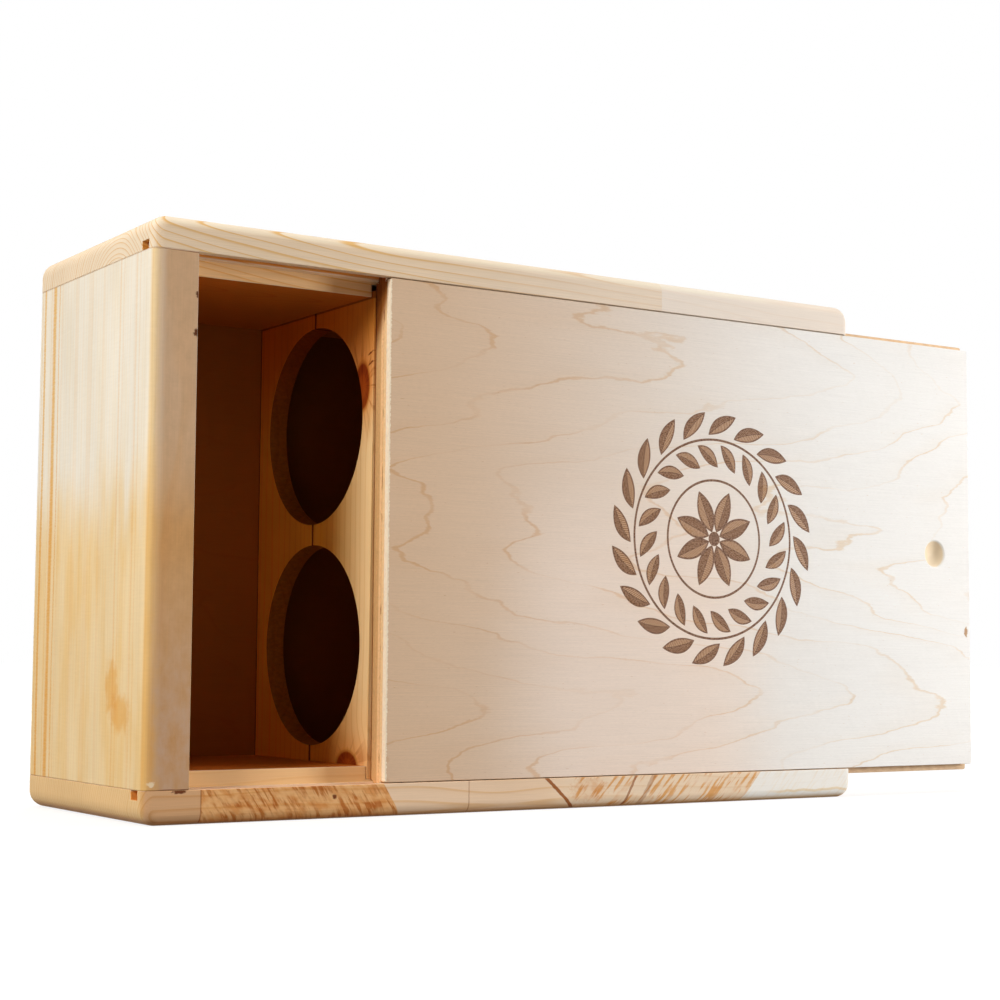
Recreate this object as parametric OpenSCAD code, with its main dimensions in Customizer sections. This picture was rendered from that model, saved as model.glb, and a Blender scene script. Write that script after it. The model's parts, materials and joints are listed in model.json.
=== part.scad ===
// Two-bottle wooden box with a sliding lid, standing on one of its long sides.
// Millimetres. X runs along the box and the lid opens towards +X, -Y is the lid's side, +Z is up.
// The origin is the middle of the face that the box stands on.
// The modules work from the box's front left bottom corner, and placed() moves them to the origin.

/* [Box] */
// Length of the box, along the lid's travel
box_len = 357; // [340:1:420]
// Height of the box as it stands
box_h = 232; // [225:1:280]
// Depth of the box, from the lid's side to the back
box_dep = 123; // [115:1:150]
// Rounding of the outer edges
edge_r = 4.8; // [2:0.1:6]

/* [Boards] */
// Thickness of the top and bottom boards
board_t = 19.5; // [18:0.5:26]
// Thickness of the two end boards
end_t = 19; // [16:0.5:26]
// Depth of the rebates that hold the end boards, the lid and the back panel
rebate_d = 6.3; // [4:0.1:8]
// Thickness of the back panel
panel_t = 5; // [3:0.5:6]
// Gap around the back panel in its rebate
panel_gap = 0.2; // [0.1:0.1:0.5]

/* [Lid groove] */
// Thickness of the lip in front of the groove
lip_t = 4.5; // [4:0.1:6]
// Width of the groove
groove_w = 6.4; // [5.6:0.1:7]
// Depth of the groove below the rebate
groove_d = 3.6; // [3.2:0.1:5]

/* [Lid] */
// Thickness of the lid
lid_t = 12.2; // [11:0.1:15]
// Distance of the lid's face behind the front of the box
lid_recess = 0.5; // [0:0.1:1.5]
// Gap between the lid's edges and the lips
lid_side_gap = 0.4; // [0.3:0.1:1]
// Gap between the tongue and each wall of the groove
tongue_gap = 0.3; // [0.3:0.05:0.6]
// How far the upper tongue stands out of the lid's edge
tongue_up = 2.1; // [1.5:0.1:2.8]
// How far the lower tongue stands out of the lid's edge
tongue_down = 2.9; // [1.5:0.1:3]
// Rounding of the lid's corners
lid_corner_r = 1; // [0.5:0.1:1.4]
// Gap behind the lid, to the end board and the cradles
lid_back_gap = 2.3; // [1:0.1:4]
// Gap between the closed lid and the left end board
lid_stop_gap = 0.3; // [0.3:0.1:1]
// How far the closed lid ends short of the right end of the box
lid_setback = 5.7; // [0:0.1:12]
// How far the lid is drawn out from its closed place
lid_open = 85.1; // [0:0.1:300]
// Diameter of the thumb recess
thumb_d = 13.5; // [10:0.5:24]
// Depth of the thumb recess
thumb_depth = 3.6; // [2:0.1:5]
// Distance of the thumb recess from the lid's right end
thumb_in = 23.6; // [16:0.1:40]

/* [Bottle cradles] */
// Thickness of the cradle boards
cradle_t = 8.5; // [7:0.5:14]
// Depth of the dados that hold the cradles
dado_d = 5.2; // [3:0.1:6]
// Gap on each side of a cradle in its dado
dado_gap = 0.3; // [0.1:0.1:0.6]
// How far a cradle's top reaches into the upper dado
cradle_top_in = 2.4; // [1:0.1:2.8]
// Gap between the rear and front halves of a cradle
split_gap = 0.8; // [0.4:0.1:1.5]
// Smallest gap between a front half and the lid
cradle_lid_gap = 0.5; // [0.3:0.1:1]
// Wood left between a hole and the back panel
hole_back_web = 10.3; // [8:0.1:14]
// Spacing of the two bottle holes
hole_pitch = 94.4; // [90:0.1:100]
// Diameter of the holes for the bottles' bodies
body_hole_d = 85.4; // [78:0.1:86]
// Diameter of the holes for the bottles' necks
neck_hole_d = 34; // [30:0.5:44]
// Distance of the body cradle from the left end board
body_cradle_in = 85; // [60:1:110]
// Distance of the neck cradle from the right end board
neck_cradle_in = 67; // [50:1:90]

/* [Brads] */
// Diameter of a brad's shank
brad_d = 1.6; // [1.2:0.1:2]
// Diameter of a brad's head
brad_head_d = 2.4; // [2.1:0.1:3]
// Thickness of a brad's head
brad_head_t = 1; // [0.6:0.1:1.5]
// How far a head is set below the wood
brad_set = 0.4; // [0.2:0.1:0.8]
// Gap around a brad in its hole
brad_gap = 0.05; // [0.03:0.01:0.1]
// Length of the brads in the corner joints
corner_brad_len = 32; // [25:1:40]
// Length of the brads in the back panel
panel_brad_len = 19; // [14:1:25]
// Distance of the outer corner brads from the front and the back
corner_brad_in = 26; // [22:1:35]
// Distance of the outer panel brads from the box's corners
panel_brad_in = 45; // [30:1:60]
// Number of brads in each corner joint
corner_brad_n = 3; // [2:1:5]
// Number of brads along each long side of the panel
panel_brad_n = 4; // [2:1:6]

/* [Hidden] */
$fn = 96;
// Longer than any cut needs, so that a cutter comes out of the far side
past = 1;

// Height of the wood that a rebate leaves in a long board
lip_h = board_t - rebate_d;
// Front and back of the groove
groove_y0 = lip_t;
groove_y1 = lip_t + groove_w;
// The lid's face and back, and the floor of the front rebate behind it
lid_y0 = lid_recess;
lid_y1 = lid_recess + lid_t;
front_y = lid_y1 + lid_back_gap;
// The inside face of the back panel
back_y = box_dep - panel_t;
// The lid's long edges, and its ends as drawn out
lid_z0 = lip_h + lid_side_gap;
lid_z1 = box_h - lid_z0;
lid_len = box_len - end_t - lid_stop_gap - lid_setback;
lid_x0 = end_t + lid_stop_gap + lid_open;
lid_x1 = lid_x0 + lid_len;
// The ball that cuts the thumb recess
thumb_ball_r = (pow(thumb_d / 2, 2) + pow(thumb_depth, 2)) / (2 * thumb_depth);
// Left faces of the two cradles
body_cradle_x = end_t + body_cradle_in;
neck_cradle_x = box_len - end_t - neck_cradle_in - cradle_t;
cradle_xs = [body_cradle_x, neck_cradle_x];
// Bottom and top of the cradles
cradle_z0 = board_t - dado_d;
cradle_z1 = box_h - board_t + cradle_top_in;
// The line through the holes' centres, where the cradles are split
split_y = back_y - hole_back_web - body_hole_d / 2;
// Places of the brads
corner_brad_ys = spread(corner_brad_in, box_dep - corner_brad_in, corner_brad_n);
panel_brad_xs = spread(panel_brad_in, box_len - panel_brad_in, panel_brad_n);
panel_brad_zs = [panel_brad_in, box_h - panel_brad_in];
panel_seat_z = lip_h + rebate_d / 2;
panel_seat_x = end_t - rebate_d / 2;
cradle_brad_zs = [board_t + brad_head_d, box_h / 2, box_h - board_t - brad_head_d];

// n evenly spaced values from a to b
function spread(a, b, n) = [for (i = [0 : n - 1]) a + (b - a) * i / (n - 1)];

// ---- helpers

// Moves a piece from the box's corner to the origin
module placed() {
    translate([-box_len / 2, -box_dep / 2, 0]) children();
}

// A flat outline drawn as (y, z), made solid from x0 to x1
module along_x(x0, x1) {
    translate([x0, 0, 0]) rotate([90, 0, 90]) linear_extrude(x1 - x0) children();
}

// A flat outline drawn as (x, z), made solid from y0 to y1
module along_y(y0, y1) {
    translate([0, y1, 0]) rotate([90, 0, 0]) linear_extrude(y1 - y0) children();
}

// A rectangle whose corners are rounded
module rounded_rect(w, h, r) {
    translate([r, 0]) square([w - 2 * r, h]);
    translate([0, r]) square([w, h - 2 * r]);
    for (x = [r, w - r], y = [r, h - r]) translate([x, y]) circle(r);
}

// Keeps what lies inside the box's rounded outside
module rounded_off() {
    intersection() {
        children();
        linear_extrude(box_h) rounded_rect(box_len, box_dep, edge_r);
        along_x(0, box_len) rounded_rect(box_dep, box_h, edge_r);
        along_y(0, box_dep) rounded_rect(box_len, box_h, edge_r);
    }
}

// Turns the bottom half of the box over, to make the top half
module turned_over() {
    translate([0, 0, box_h]) mirror([0, 0, 1]) children();
}

// A brad that points up, its head's face at z = brad_set, made larger all round by gap
module brad(len, gap = 0) {
    head_bottom = gap > 0 ? -past : brad_set;
    translate([0, 0, head_bottom]) cylinder(h = brad_set + brad_head_t - head_bottom + gap,
                                            r = brad_head_d / 2 + gap);
    translate([0, 0, brad_set]) cylinder(h = len + gap, r = brad_d / 2 + gap);
}

// The brads of the lower corner joints
module lower_corner_brads(gap = 0) {
    for (x = [end_t / 2, box_len - end_t / 2], y = corner_brad_ys)
        translate([x, y, 0]) brad(corner_brad_len, gap);
}

module all_corner_brads(gap = 0) {
    lower_corner_brads(gap);
    turned_over() lower_corner_brads(gap);
}

// A brad driven into the back
module back_brad(x, z, gap) {
    translate([x, box_dep, z]) rotate([90, 0, 0]) brad(panel_brad_len, gap);
}

// The brads through the back panel, into the boards and the rear halves of the cradles
module all_panel_brads(gap = 0) {
    for (x = panel_brad_xs, z = [panel_seat_z, box_h - panel_seat_z]) back_brad(x, z, gap);
    for (x = [panel_seat_x, box_len - panel_seat_x], z = panel_brad_zs) back_brad(x, z, gap);
    for (x = cradle_xs, z = cradle_brad_zs) back_brad(x + cradle_t / 2, z, gap);
}

// ---- the long boards

// Cross-section of the bottom board, drawn as (y, z)
module long_board_section() {
    polygon([
        [0, 0], [box_dep, 0], [box_dep, lip_h],
        [back_y, lip_h], [back_y, board_t],
        [front_y, board_t], [front_y, lip_h],
        [groove_y1, lip_h], [groove_y1, lip_h - groove_d],
        [groove_y0, lip_h - groove_d], [groove_y0, lip_h],
        [0, lip_h]
    ]);
}

module long_board() {
    difference() {
        rounded_off() along_x(0, box_len) long_board_section();
        for (x = [-past, box_len - end_t])
            translate([x, -past, lip_h])
                cube([end_t + past, box_dep + 2 * past, rebate_d + past]);
        for (x = cradle_xs)
            translate([x - dado_gap, front_y - past, cradle_z0])
                cube([cradle_t + 2 * dado_gap, back_y - front_y + 2 * past, dado_d + past]);
        lower_corner_brads(brad_gap);
        all_panel_brads(brad_gap);
    }
}

module bottom_board() {
    color("burlywood") placed() long_board();
}

module top_board() {
    color("wheat") placed() turned_over() long_board();
}

// ---- the end boards

// An end board at the left end, its front edge at y0
module end_board(y0) {
    difference() {
        rounded_off()
            translate([0, y0, lip_h]) cube([end_t, box_dep - y0, box_h - 2 * lip_h]);
        translate([end_t - rebate_d, back_y, 0]) cube([rebate_d + past, panel_t + past, box_h]);
        all_corner_brads(brad_gap);
        all_panel_brads(brad_gap);
    }
}

module left_end_board() {
    color("moccasin") placed() end_board(0);
}

module right_end_board() {
    color("moccasin") placed() translate([box_len, 0, 0]) mirror([1, 0, 0]) end_board(front_y);
}

// ---- the back panel

module back_panel() {
    inset_x = end_t - rebate_d + panel_gap;
    inset_z = lip_h + panel_gap;
    color("tan") placed() difference() {
        translate([inset_x, back_y, inset_z])
            cube([box_len - 2 * inset_x, panel_t, box_h - 2 * inset_z]);
        all_panel_brads(brad_gap);
    }
}

// ---- the lid

// One layer of the lid, from y0 to y1, its long edges at z0 and z1
module lid_layer(y0, y1, z0, z1) {
    along_y(y0, y1) translate([lid_x0, z0]) rounded_rect(lid_len, z1 - z0, lid_corner_r);
}

module lid() {
    color("antiquewhite") placed() difference() {
        union() {
            lid_layer(lid_y0, lid_y1, lid_z0, lid_z1);
            lid_layer(groove_y0 + tongue_gap, groove_y1 - tongue_gap,
                      lid_z0 - tongue_down, lid_z1 + tongue_up);
        }
        translate([lid_x1 - thumb_in, lid_y0 + thumb_depth - thumb_ball_r, box_h / 2])
            sphere(thumb_ball_r);
    }
}

// ---- the bottle cradles

// Both holes of a cradle whose left face is at x
module bottle_holes(x, hole_d) {
    for (side = [-1, 1])
        translate([x - past, split_y, (box_h + side * hole_pitch) / 2])
            rotate([0, 90, 0]) cylinder(h = cradle_t + 2 * past, r = hole_d / 2);
}

module cradle_rear(x, hole_d) {
    difference() {
        along_x(x, x + cradle_t)
            translate([split_y + split_gap / 2, cradle_z0])
                square([back_y - split_y - split_gap / 2, cradle_z1 - cradle_z0]);
        bottle_holes(x, hole_d);
        all_panel_brads(brad_gap);
    }
}

// The front half's front edge leans forward to the lid, so the gap there narrows upwards
module cradle_front(x, hole_d) {
    difference() {
        along_x(x, x + cradle_t) polygon([
            [front_y, cradle_z0],
            [split_y - split_gap / 2, cradle_z0],
            [split_y - split_gap / 2, cradle_z1],
            [lid_y1 + cradle_lid_gap, cradle_z1]
        ]);
        bottle_holes(x, hole_d);
    }
}

module body_cradle_rear() {
    color("sandybrown") placed() cradle_rear(body_cradle_x, body_hole_d);
}

module body_cradle_front() {
    color("peru") placed() cradle_front(body_cradle_x, body_hole_d);
}

module neck_cradle_rear() {
    color("sandybrown") placed() cradle_rear(neck_cradle_x, neck_hole_d);
}

module neck_cradle_front() {
    color("peru") placed() cradle_front(neck_cradle_x, neck_hole_d);
}

// ---- the brads

module corner_brads() {
    color("silver") placed() all_corner_brads();
}

module panel_brads() {
    color("silver") placed() all_panel_brads();
}

top_board();
bottom_board();
left_end_board();
right_end_board();
back_panel();
lid();
body_cradle_rear();
body_cradle_front();
neck_cradle_rear();
neck_cradle_front();
corner_brads();
panel_brads();
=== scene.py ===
# %% [markdown]
# # A two-bottle wooden box with a sliding lid
# The boards, the lid and the cradles come from a CAD model, which this script loads as a fixed
# frame. Blender's work is the wood: soft edges, growth rings, plywood layers, knots, glue joints
# and a burnt-in ornament. Places are in metres, apart from the wood patterns, which count in
# millimetres from the box's front left bottom corner, because a joiner measures a board that way.

# %% Load the frame
import json
import math

import bmesh
import bpy
from mathutils import Matrix, Vector

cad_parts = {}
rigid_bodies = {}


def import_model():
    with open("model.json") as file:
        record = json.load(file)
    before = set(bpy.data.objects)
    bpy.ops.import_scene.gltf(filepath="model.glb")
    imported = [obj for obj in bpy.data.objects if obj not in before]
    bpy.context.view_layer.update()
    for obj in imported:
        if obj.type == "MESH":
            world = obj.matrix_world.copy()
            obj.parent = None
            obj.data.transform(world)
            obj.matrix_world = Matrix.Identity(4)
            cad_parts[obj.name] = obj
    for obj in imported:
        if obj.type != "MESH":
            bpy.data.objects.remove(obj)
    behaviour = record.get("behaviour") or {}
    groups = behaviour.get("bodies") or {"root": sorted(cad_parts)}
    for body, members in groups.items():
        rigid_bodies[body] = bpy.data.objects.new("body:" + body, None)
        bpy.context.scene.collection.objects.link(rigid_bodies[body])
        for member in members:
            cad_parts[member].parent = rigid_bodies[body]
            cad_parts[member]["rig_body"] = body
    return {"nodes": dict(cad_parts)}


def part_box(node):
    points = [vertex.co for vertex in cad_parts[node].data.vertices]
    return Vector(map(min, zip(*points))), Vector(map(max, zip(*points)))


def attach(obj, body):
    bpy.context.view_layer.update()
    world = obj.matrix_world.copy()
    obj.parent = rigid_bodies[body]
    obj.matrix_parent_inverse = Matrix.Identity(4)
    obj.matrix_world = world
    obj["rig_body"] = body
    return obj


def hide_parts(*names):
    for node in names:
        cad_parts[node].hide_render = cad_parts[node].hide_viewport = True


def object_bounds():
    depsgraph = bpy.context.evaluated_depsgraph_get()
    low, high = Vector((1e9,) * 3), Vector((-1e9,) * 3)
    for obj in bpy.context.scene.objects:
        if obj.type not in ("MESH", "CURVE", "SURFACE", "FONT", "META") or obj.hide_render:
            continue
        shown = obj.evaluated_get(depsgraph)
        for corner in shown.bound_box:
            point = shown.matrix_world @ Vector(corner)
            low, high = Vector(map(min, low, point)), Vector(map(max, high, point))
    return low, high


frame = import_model()
nodes = frame["nodes"]
cad_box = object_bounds()
MM = 0.001
print("CAD nodes:", len(nodes), "box:", cad_box)

# %% [markdown]
# ## The camera and the light
# The photograph was taken from low down, a little above the surface the box stands on, with a
# short telephoto lens. Its place was found from the box's own corners, so the edges converge
# as they do in the photograph. Two soft lamps give the two bright sides: one stands to the left
# for the end board, the other to the right of the camera for the lid. The second one is near,
# so that the lid grows lighter towards it, and painted light in the lid's veneer adds to that. A
# large one above fills in what those two leave dark, and one behind the box is for views of its
# back.

# %% Camera
CAMERA_PLACE = Vector((-0.474078, -0.756448, 0.063363))
CAMERA_TURN = math.radians(33.136)
CAMERA_TILT = math.radians(4.579)
CAMERA_ROLL = math.radians(0.408)
LENS = 71.39

camera = bpy.data.objects.new("camera", bpy.data.cameras.new("camera"))
bpy.context.scene.collection.objects.link(camera)
camera.data.lens = LENS
camera.data.sensor_width = 36.0
camera.data.clip_start = 0.01
camera.matrix_world = (Matrix.Translation(CAMERA_PLACE)
                       @ Matrix.Rotation(-CAMERA_TURN, 4, "Z")
                       @ Matrix.Rotation(math.pi / 2 + CAMERA_TILT, 4, "X")
                       @ Matrix.Rotation(CAMERA_ROLL, 4, "Z"))
bpy.context.scene.camera = camera
bpy.context.scene.view_settings.view_transform = "Standard"
print("camera lens", LENS, "mm, place", tuple(CAMERA_PLACE))

# %% Lamps
BOX_MIDDLE = Vector((0.0, 0.0, 0.116))


def soft_lamp(name, place, size, watts, colour):
    """A square lamp that faces the middle of the box."""
    data = bpy.data.lights.new(name, "AREA")
    data.shape = "SQUARE"
    data.size = size
    data.energy = watts
    data.color = colour
    lamp = bpy.data.objects.new(name, data)
    bpy.context.scene.collection.objects.link(lamp)
    lamp.location = place
    aim = BOX_MIDDLE - Vector(place)
    lamp.rotation_euler = aim.to_track_quat("-Z", "Y").to_euler()
    print(name, round(aim.length, 2), "m away,", watts, "W")


soft_lamp("lamp_left", (-1.26, -0.44, 0.74), 0.42, 14.5, (1.0, 0.97, 0.92))
soft_lamp("lamp_right", (0.98, -0.70, 0.22), 0.30, 9.3, (1.0, 1.0, 1.0))
soft_lamp("lamp_above", (0.05, 0.15, 1.50), 1.00, 10.0, (1.0, 1.0, 1.0))
soft_lamp("lamp_back", (0.55, 1.15, 0.45), 0.50, 8.0, (1.0, 0.99, 0.97))

# %% [markdown]
# ## Materials as sums
# A wood pattern is arithmetic on a point's place. Writing it as Python expressions keeps it
# readable: `Value` wraps one output of a node, and `a * b + 1` adds the Math nodes for it.
# `Paint` holds one material and makes every other node through a single method.

# %% Value
class Value:
    """One output socket of a material, which Python can calculate with."""

    def __init__(self, paint, socket):
        self.paint = paint
        self.socket = socket

    def __add__(self, other):
        return self.paint.math("ADD", self, other)

    def __radd__(self, other):
        return self.paint.math("ADD", other, self)

    def __sub__(self, other):
        return self.paint.math("SUBTRACT", self, other)

    def __rsub__(self, other):
        return self.paint.math("SUBTRACT", other, self)

    def __mul__(self, other):
        return self.paint.math("MULTIPLY", self, other)

    def __rmul__(self, other):
        return self.paint.math("MULTIPLY", other, self)

    def __truediv__(self, other):
        return self.paint.math("DIVIDE", self, other)

    def __abs__(self):
        return self.paint.math("ABSOLUTE", self)


# %% Paint
WOOD_SHINE = 0.15


class Paint:
    """The nodes of a material, of the world or of a Geometry Nodes tree, as they are made."""

    def __init__(self, owner, tree=None):
        self.owner = owner
        if tree is None:
            owner.use_nodes = True
            tree = owner.node_tree
        self.tree = tree
        self.tree.nodes.clear()

    def join(self, given, socket):
        """Links a Value to a socket, or sets the socket to a plain value."""
        if isinstance(given, Value):
            self.tree.links.new(given.socket, socket)
        else:
            socket.default_value = given

    def add(self, kind, settings=None, out=0, **sockets):
        """A node of this kind: its settings first, then its sockets' values or links."""
        geometry = kind.startswith(("GeometryNode", "FunctionNode"))
        node = self.tree.nodes.new(kind if geometry else "ShaderNode" + kind)
        for name, setting in (settings or {}).items():
            setattr(node, name, setting)
        for name, given in sockets.items():
            known = {s.name.replace(" ", "_"): s for s in reversed(node.inputs)}
            known.update({s.identifier: s for s in node.inputs})
            self.join(given, known[name])
        return Value(self, node.outputs[out]) if node.outputs else None

    def math(self, operation, *terms):
        node = self.tree.nodes.new("ShaderNodeMath")
        node.operation = operation
        for socket, term in zip(node.inputs, terms):
            self.join(term, socket)
        return Value(self, node.outputs[0])

    def point(self, x, y, z):
        return self.add("CombineXYZ", X=x, Y=y, Z=z)

    def parts(self, vector):
        """The three numbers of a vector."""
        node = self.add("SeparateXYZ", Vector=vector).socket.node
        return [Value(self, output) for output in node.outputs]

    def noise(self, x, y, z, detail=2.0, roughness=0.5):
        """Smooth noise from 0 to 1, about one cell to each unit of x, y and z."""
        return self.add("TexNoise", Vector=self.point(x, y, z), Scale=1.0, Detail=detail,
                        Roughness=roughness)

    def step(self, value, low, high):
        """0 below low, 1 above high, smooth between."""
        return self.add("MapRange", {"interpolation_type": "SMOOTHSTEP"}, Value=value,
                        From_Min=low, From_Max=high)

    def near(self, value, middle, half, soft):
        """1 where value is within half of middle, fading over soft."""
        return 1 - self.step(abs(value - middle), half, half + soft)

    def mix(self, factor, first, second):
        """From the first colour to the second."""
        return self.add("Mix", {"data_type": "RGBA"}, out=2, Factor_Float=factor,
                        A_Color=first, B_Color=second)

    def stain_and_shade(self, factor, colour, stain_and_shade):
        """The colour seen through a thin tint, as strong as factor: a real one in places, painted
        shade in others.
        """
        return self.add("Mix", {"data_type": "RGBA", "blend_type": "MULTIPLY"}, out=2,
                        Factor_Float=factor, A_Color=colour, B_Color=stain_and_shade)

    def bright(self, colour, factor):
        """A colour times a number."""
        return self.add("VectorMath", {"operation": "SCALE"}, Vector=colour, Scale=factor)

    def distance(self, right, up):
        """How far the point (right, up) is from (0, 0)."""
        return self.add("VectorMath", {"operation": "LENGTH"}, out=1,
                        Vector=self.point(right, up, 0.0))

    def surface(self, colour, roughness, height, relief):
        """Ends the material. Its bumps are height times relief, which is in metres."""
        bump = self.add("Bump", Height=height, Distance=relief, Strength=1.0)
        shader = self.add("BsdfPrincipled", Base_Color=colour, Roughness=roughness, Normal=bump,
                          Specular_IOR_Level=WOOD_SHINE)
        self.add("OutputMaterial", Surface=shader)
        print("material", self.owner.name, "of", len(self.tree.nodes), "nodes")
        return self.owner


def new_paint(name):
    return Paint(bpy.data.materials.new(name))


# %% Where a point is
BOX_CORNER = cad_box[0]


def rgb(red, green, blue):
    """A colour from linear parts."""
    return (red, green, blue, 1.0)


def place(paint):
    """A point's x, y and z in millimetres from the box's front left bottom corner."""
    point = paint.add("TexCoord", out=3)
    return [(part - corner) * (1 / MM) for part, corner in zip(paint.parts(point), BOX_CORNER)]


def facing(paint):
    """How far the surface faces +X, +Y and +Z, each from -1 to 1."""
    return paint.parts(paint.add("TexCoord", out=1))


print("millimetres count from", tuple(round(part, 4) for part in BOX_CORNER))

# %% [markdown]
# ## Pine
# A board is cut out of a log, so its pattern is the log's: cylinders of pale early wood and
# darker late wood round a pith, long and slightly wavy. Cutting that solid pattern with the
# board's real faces gives lines along the grain and arcs on the end grain, which meet at the
# edges with no seam. Streaks of fibre, far longer than wide, lie over them.

# %% Growth rings and fibre
def rings(paint, along, side, rise, pith, spacing, wander=10.0):
    """Late wood, 0 to 1, of a log whose pith passes through (side, rise) = pith."""
    sway = paint.noise(along / 190.0, side / 60.0, rise / 60.0)
    lean = paint.noise(along / 230.0 + 9.0, side / 60.0, rise / 60.0)
    off_side = side - pith[0] + (sway - 0.5) * wander
    off_rise = rise - pith[1] + (lean - 0.5) * wander
    radius = paint.distance(off_side, off_rise)
    uneven = paint.noise(radius / (2.5 * spacing), 0.0, along / 900.0)
    turn = paint.math("FRACT", radius / spacing + uneven * 1.6)
    broad = paint.step(turn, 0.30, 0.95) * 0.22
    sharp = paint.step(turn, 0.72, 0.89) * 0.78
    return (broad + sharp) * (1 - paint.step(turn, 0.92, 1.0))


def fibre(paint, along, side, rise, width=0.45):
    """Streaks along the grain, 0 to 1."""
    return paint.noise(along / 26.0, side / width, rise / width, detail=3.0, roughness=0.6)


def wood_tone(paint, early, late, ring, streak, cloud):
    """The colour of planed wood from its rings, its fibre and its broad changes of tone."""
    colour = paint.mix(ring, early, late)
    return paint.bright(colour, 0.80 + streak * 0.20 + cloud * 0.20)


def planed(paint, colour, ring, streak, roughness=0.55, relief=0.08 * MM):
    """Ends a pine material, whose fibre and late wood stand up a little."""
    return paint.surface(colour, roughness + streak * 0.15, streak * 0.7 + ring * 0.3, relief)


# %% [markdown]
# ## The box's inside
# Little light reaches the wood behind the lid, and what does has bounced from board to board,
# which turns it a deep orange brown. The inner faces carry part of that colour as painted shade:
# a dark orange tint that only they have.

# %% Inner faces
BOARD = 19.5
END_BOARD = 19.0
FRONT_REBATE = 15.0
BACK_FACE = 118.0
BOX_LENGTH = 357.0
BOX_HEIGHT = 232.0
BOX_DEPTH = 123.0
# Painted shade: the dark orange that bounced light gives the inner faces.
INSIDE_PAINTED_SHADE = rgb(0.58, 0.22, 0.030)


def inside(paint, x, y, z):
    """1 on faces inside the box, behind the front rebate."""
    deep = paint.step(y, FRONT_REBATE + 0.2, FRONT_REBATE + 1.0)
    deep *= 1 - paint.step(y, BACK_FACE + 0.2, BACK_FACE + 0.8)
    long_way = paint.near(x, BOX_LENGTH / 2, BOX_LENGTH / 2 - END_BOARD + 0.2, 0.3)
    high_way = paint.near(z, BOX_HEIGHT / 2, BOX_HEIGHT / 2 - BOARD + 0.2, 0.3)
    return deep * long_way * high_way


print("inside:", BOX_LENGTH - 2 * END_BOARD, "by", BOX_HEIGHT - 2 * BOARD, "mm")

# %% The front rebate's wall
REBATE_STAIN = rgb(1.0, 0.82, 0.56)


def rebate_wall(paint, y, face_y):
    """1 on the narrow wall behind the lid's path, where the box is open."""
    return paint.near(y, FRONT_REBATE, 0.5, 0.3) * paint.step(-1 * face_y, 0.7, 0.9)


# %% The lid's grooves
GROOVE_FRONT = 4.5
GROOVE_BACK = 10.9
LIP = 13.2
GROOVE_DEPTH = 3.6
# Painted shade: the grooves' walls and floor are darkened to an orange brown.
GROOVE_PAINTED_SHADE = rgb(1.0, 0.60, 0.20)


def groove(paint, y, z, face_x):
    """1 on the walls and the floor of both grooves."""
    middle = (GROOVE_FRONT + GROOVE_BACK) / 2
    across = paint.near(y, middle, (GROOVE_BACK - GROOVE_FRONT) / 2 + 0.1, 0.2)
    height = abs(z - BOX_HEIGHT / 2)
    low = BOX_HEIGHT / 2 - LIP + 0.3
    high = low + GROOVE_DEPTH
    into = paint.step(height, low, low + 0.4) * (1 - paint.step(height, high, high + 0.3))
    return across * into * (1 - paint.step(abs(face_x), 0.5, 0.8))


print("grooves:", round(GROOVE_BACK - GROOVE_FRONT, 1), "mm wide,", GROOVE_DEPTH, "mm deep")

# %% [markdown]
# ## The top board
# Its front shows slanted growth lines at the left, because the grain rises there, and a joint
# in the stock at two thirds of its length, right of which another piece was glued on.

# %% Top board
TOP_PITH = (38.0, 196.0)
TOP_RING = 2.05
TOP_JOINT = 243.8
JOINT_SHIFT = 17.0
GRAIN_RISE = 7.0
GRAIN_RUN = 125.0
GRAIN_LEAN = 0.03
TOP_EARLY = rgb(0.90, 0.70, 0.50)
TOP_LATE = rgb(0.80, 0.46, 0.14)


def top_pine():
    paint = new_paint("top_pine")
    x, y, z = place(paint)
    face_x, face_y, face_z = facing(paint)
    bend = paint.math("MAXIMUM", 1 - x / GRAIN_RUN, 0.0)
    right_piece = paint.step(x, TOP_JOINT - 0.2, TOP_JOINT + 0.2)
    lifted = z - bend * bend * GRAIN_RISE + x * GRAIN_LEAN - right_piece * JOINT_SHIFT
    ring = rings(paint, x, y, lifted, TOP_PITH, TOP_RING)
    streak = fibre(paint, x, y, z)
    cloud = paint.noise(x / 70.0, y / 30.0, z / 14.0)
    end_face = paint.step(abs(face_x), 0.6, 0.8)
    arris = paint.step(face_z, 0.15, 0.5) * paint.step(-1 * face_y, 0.1, 0.4)
    paler = paint.step(x, 90.0, TOP_JOINT) * (1 - right_piece)
    ring_strength = 0.80 - right_piece * 0.40 - paler * 0.38 + arris * 0.10
    colour = wood_tone(paint, TOP_EARLY, TOP_LATE, ring * ring_strength, streak, cloud)
    colour = paint.mix(paler * 0.35 + right_piece * 0.72, colour, rgb(0.99, 0.90, 0.82))
    colour = paint.bright(colour, 0.915 + streak * 0.12)
    # Painted highlight: the rounded front edge, where it faces up, is made paler.
    colour = paint.mix(arris * 0.45 * (1 - ring), colour, rgb(0.97, 0.89, 0.70))
    colour = paint.mix(end_face * 0.40 * (1 - ring), colour, rgb(0.98, 0.89, 0.72))
    colour = paint.stain_and_shade(groove(paint, y, z, face_x), colour, GROOVE_PAINTED_SHADE)
    colour = paint.stain_and_shade(rebate_wall(paint, y, face_y), colour, REBATE_STAIN)
    colour = paint.stain_and_shade(inside(paint, x, y, z), colour, INSIDE_PAINTED_SHADE)
    return planed(paint, colour, ring, streak)


# %% [markdown]
# ## The bottom board
# This board was glued up from short pieces, and its front shows them. From the left they are a
# darker end, a long patch with brown saw marks that ends on a slant, plainer wood with a brown
# blotch and thin slanting marks, and a pale piece. The glue joints between the boards that the
# stock was made of are dark lines, two upright and three slanted.

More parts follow.
